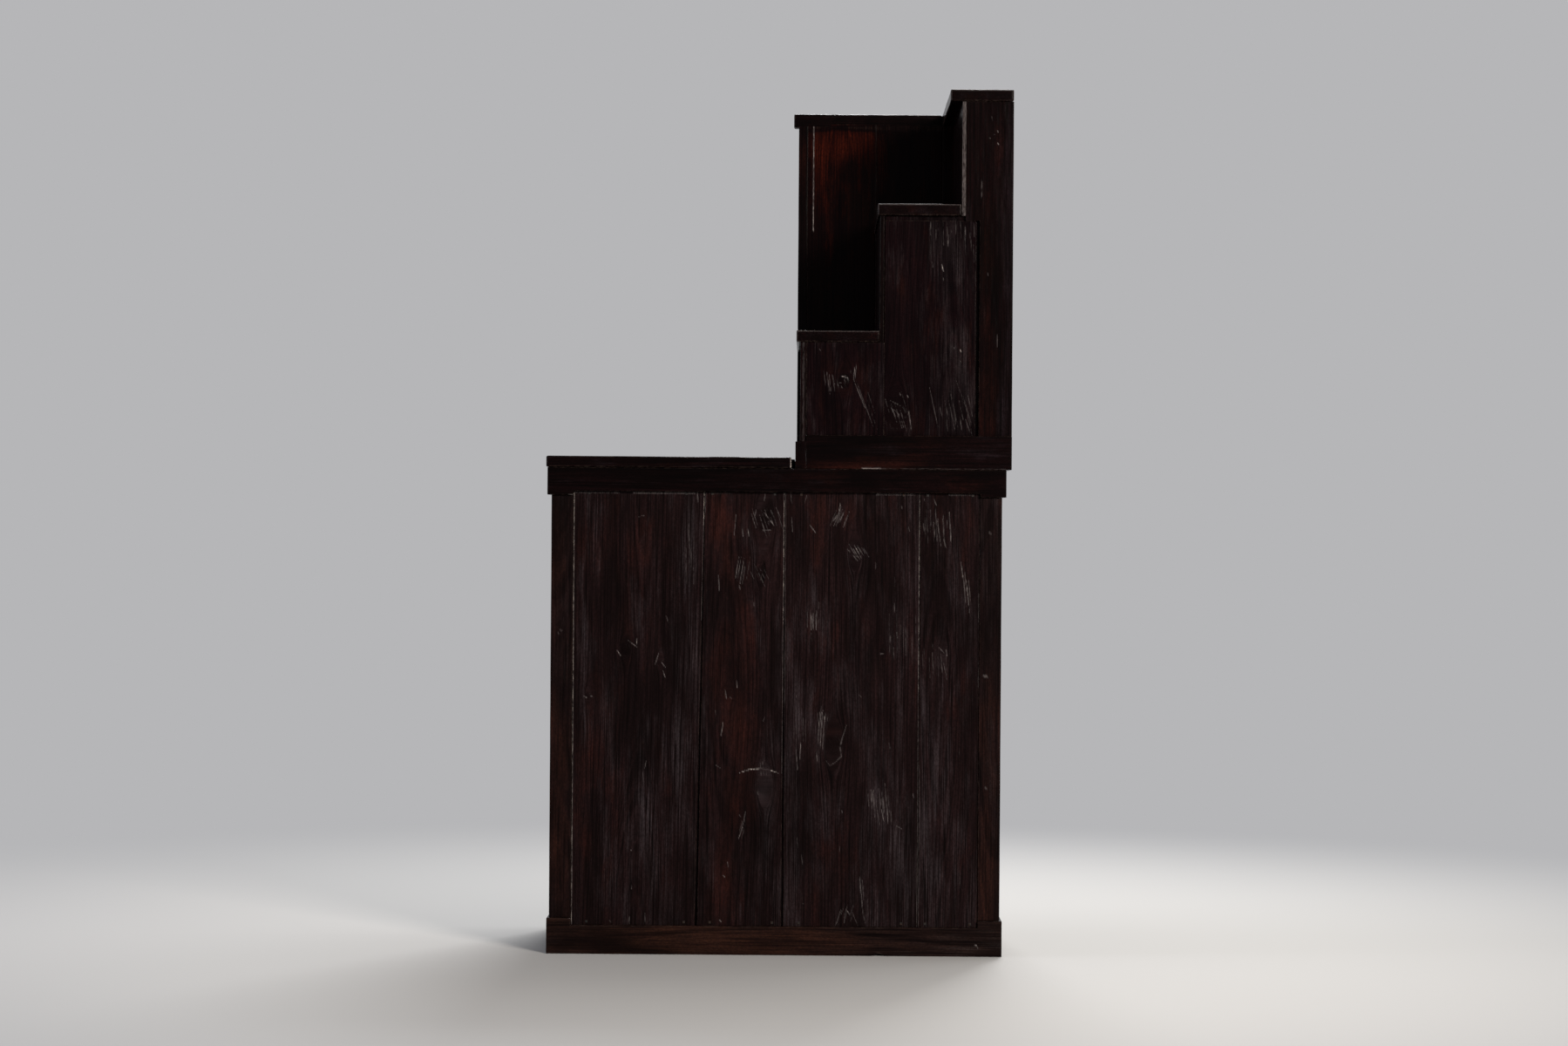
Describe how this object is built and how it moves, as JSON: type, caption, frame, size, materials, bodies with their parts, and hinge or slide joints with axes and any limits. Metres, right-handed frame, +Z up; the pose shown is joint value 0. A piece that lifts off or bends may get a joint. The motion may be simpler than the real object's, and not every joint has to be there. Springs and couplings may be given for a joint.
{
  "type": "step chest tansu",
  "caption": "Step-shaped wooden chest in two stacked sections, with treads, sliding doors, drawers and iron bails.",
  "frame": {"origin": "on the floor under the middle of the whole outline", "axes": "+Z up, +X the way the steps climb, +Y towards the front with the doors and drawers; the pictured plain back faces -Y"},
  "size_m": [0.9746, 0.5274, 1.815],
  "materials": {
    "lacquered_frame": "worn dark lacquer, semi-gloss",
    "lacquered_plank": "thin dark lacquer over rough-sawn softwood",
    "bare_wood": "planed, unfinished, darkened with age",
    "wrought_iron": "hand-forged, blackened, satin"
  },
  "bodies": {
    "chest": {"back_nails": "wrought_iron", "landing_board": "lacquered_frame", "lower_back_plank_1": "lacquered_plank", "lower_back_plank_2": "lacquered_plank", "lower_back_plank_3": "lacquered_plank", "lower_back_plank_4": "lacquered_plank", "lower_band_back": "lacquered_frame", "lower_band_front": "lacquered_frame", "lower_band_left": "lacquered_frame", "lower_band_right": "lacquered_frame", "lower_drawer_guides": "bare_wood", "lower_floor_board": "bare_wood", "lower_floor_track": "lacquered_frame", "lower_head_track": "lacquered_frame", "lower_plinth_back": "lacquered_frame", "lower_plinth_front": "lacquered_frame", "lower_plinth_left": "lacquered_frame", "lower_plinth_right": "lacquered_frame", "lower_post_back_left": "lacquered_frame", "lower_post_back_right": "lacquered_frame", "lower_post_front_left": "lacquered_frame", "lower_post_front_right": "lacquered_frame", "lower_shelf": "bare_wood", "lower_side_planks_left": "lacquered_plank", "lower_side_planks_right": "lacquered_plank", "lower_top_board": "bare_wood", "riser_1": "lacquered_frame", "riser_2": "lacquered_frame", "riser_3": "lacquered_frame", "tread_1": "lacquered_frame", "tread_2": "lacquered_frame", "tread_3": "lacquered_frame", "upper_back_board_low": "lacquered_plank", "upper_back_board_middle": "lacquered_plank", "upper_back_board_tall": "lacquered_plank", "upper_dust_board": "bare_wood", "upper_floor_board": "bare_wood", "upper_plinth_back": "lacquered_frame", "upper_plinth_front": "lacquered_frame", "upper_plinth_left": "lacquered_frame", "upper_plinth_right": "lacquered_frame", "upper_side_right": "lacquered_plank", "wall_cap": "lacquered_frame", "wall_planks": "lacquered_plank", "wall_post_left": "lacquered_frame", "wall_post_right": "lacquered_frame", "wall_rail": "lacquered_frame"},
    "door_left": {"door_left_frame": "lacquered_frame", "door_left_panel": "lacquered_plank"},
    "door_right": {"door_right_frame": "lacquered_frame", "door_right_panel": "lacquered_plank"},
    "lower_drawer": {"lower_drawer_front": "lacquered_frame", "lower_drawer_box": "bare_wood", "lower_drawer_bail_posts": "wrought_iron"},
    "lower_drawer_bail_left": {"lower_drawer_bail_left": "wrought_iron"},
    "lower_drawer_bail_right": {"lower_drawer_bail_right": "wrought_iron"},
    "upper_drawer": {"upper_drawer_front": "lacquered_frame", "upper_drawer_box": "bare_wood", "upper_drawer_bail_posts": "wrought_iron"},
    "upper_drawer_bail": {"upper_drawer_bail": "wrought_iron"}
  },
  "joints": [
    {"name": "door_left_slide", "type": "slide", "parent": "chest", "child": "door_left", "axis": [1, 0, 0], "range_m": [0, 0.404]},
    {"name": "door_right_slide", "type": "slide", "parent": "chest", "child": "door_right", "axis": [-1, 0, 0], "range_m": [0, 0.404]},
    {"name": "lower_drawer_slide", "type": "slide", "parent": "chest", "child": "lower_drawer", "axis": [0, 1, 0], "range_m": [0, 0.3]},
    {"name": "upper_drawer_slide", "type": "slide", "parent": "chest", "child": "upper_drawer", "axis": [0, 1, 0], "range_m": [0, 0.3]},
    {"name": "lower_drawer_bail_left_swing", "type": "hinge", "parent": "lower_drawer", "child": "lower_drawer_bail_left", "pos_m": [-0.21625, 0.25825, 0.21852], "axis": [1, 0, 0], "range_deg": [0, 110]},
    {"name": "lower_drawer_bail_right_swing", "type": "hinge", "parent": "lower_drawer", "child": "lower_drawer_bail_right", "pos_m": [0.20875, 0.25825, 0.21852], "axis": [1, 0, 0], "range_deg": [0, 110]},
    {"name": "upper_drawer_bail_swing", "type": "hinge", "parent": "upper_drawer", "child": "upper_drawer_bail", "pos_m": [0.26175, 0.24475, 1.19352], "axis": [1, 0, 0], "range_deg": [0, 110]}
  ]
}
